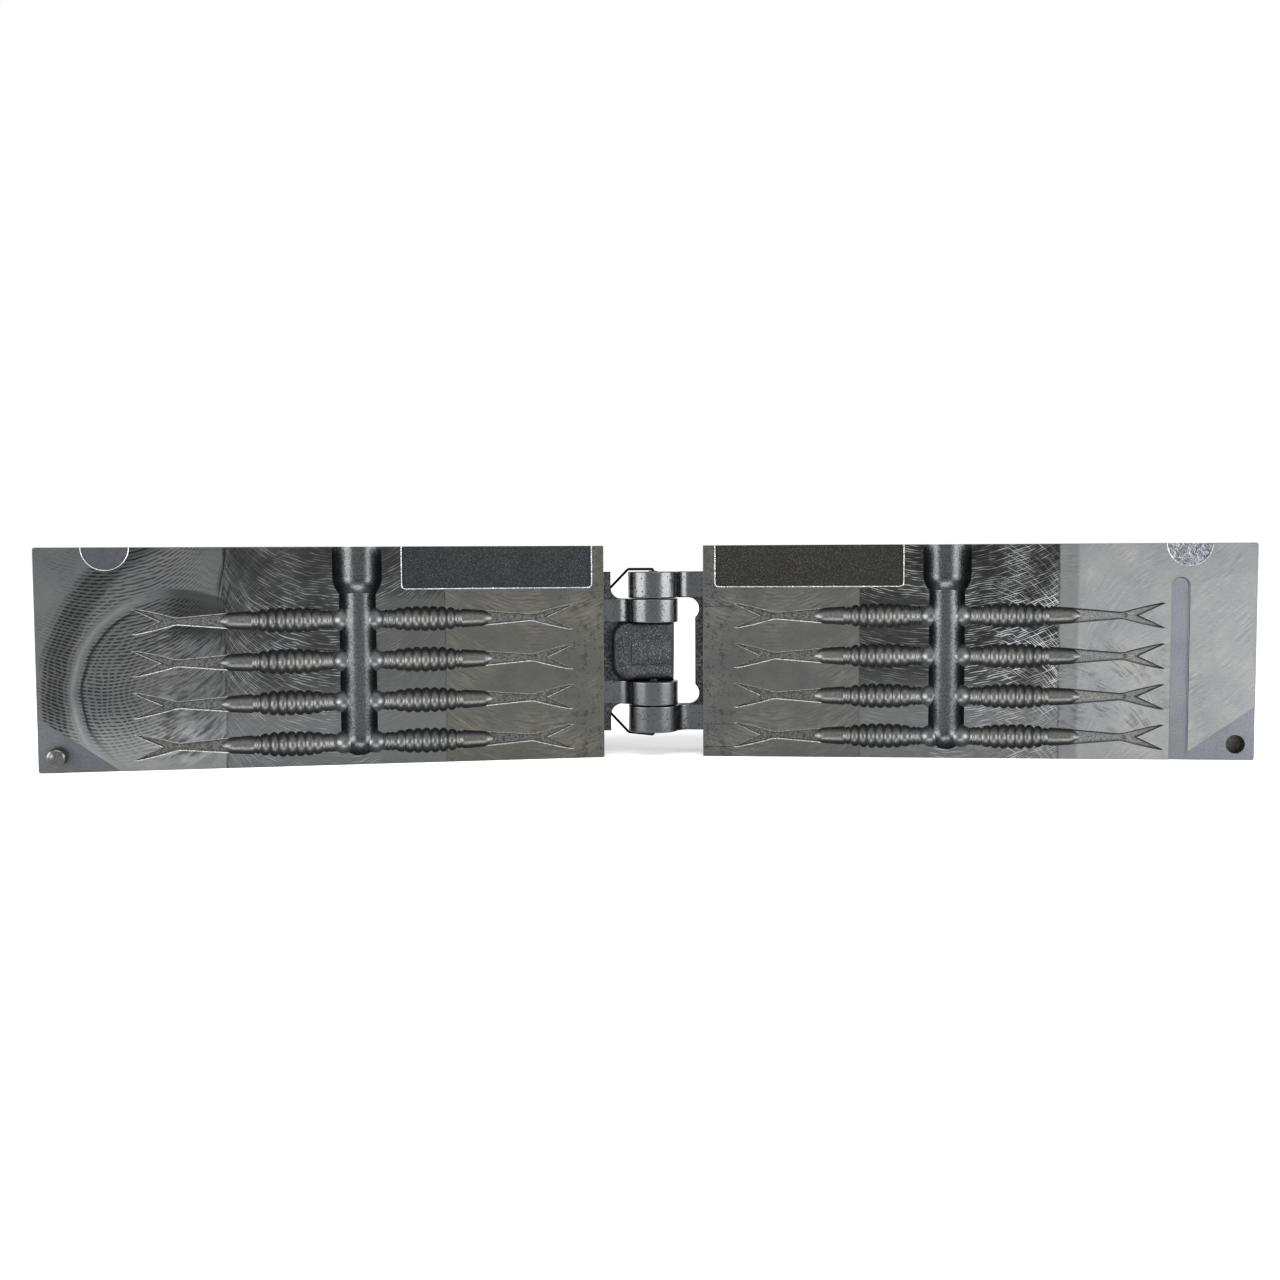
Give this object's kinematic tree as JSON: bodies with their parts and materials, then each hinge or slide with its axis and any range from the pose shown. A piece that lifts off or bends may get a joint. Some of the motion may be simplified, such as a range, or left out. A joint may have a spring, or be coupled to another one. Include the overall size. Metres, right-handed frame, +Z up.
{
  "type": "hinged fishing lure mould",
  "caption": "Two hinged aluminium blocks with matching ribbed, fork-tailed lure cavities fed by a central sprue and runner.",
  "frame": {"origin": "middle of the open mould's box at the surface it stands on", "axes": "+X to the right-hand half, +Y away from the mould faces, +Z up towards the sprue"},
  "size_m": [0.415, 0.0404, 0.075],
  "materials": {
    "cast_aluminium": "milled satin faces on a rough casting",
    "pin_steel": "ground steel",
    "black_wire": "black oxide spring wire"
  },
  "bodies": {
    "left_half": {"left_mould_half": "cast_aluminium", "hinge_pin": "pin_steel", "pin_clip": "black_wire", "locating_pin": "pin_steel"},
    "right_half": {"right_mould_half": "cast_aluminium"}
  },
  "joints": [
    {"name": "hinge", "type": "hinge", "parent": "left_half", "child": "right_half", "pos_m": [0, 0.01001, 0.0375], "axis": [0, 0, 1], "range_deg": [-165.2, 14.8]}
  ]
}
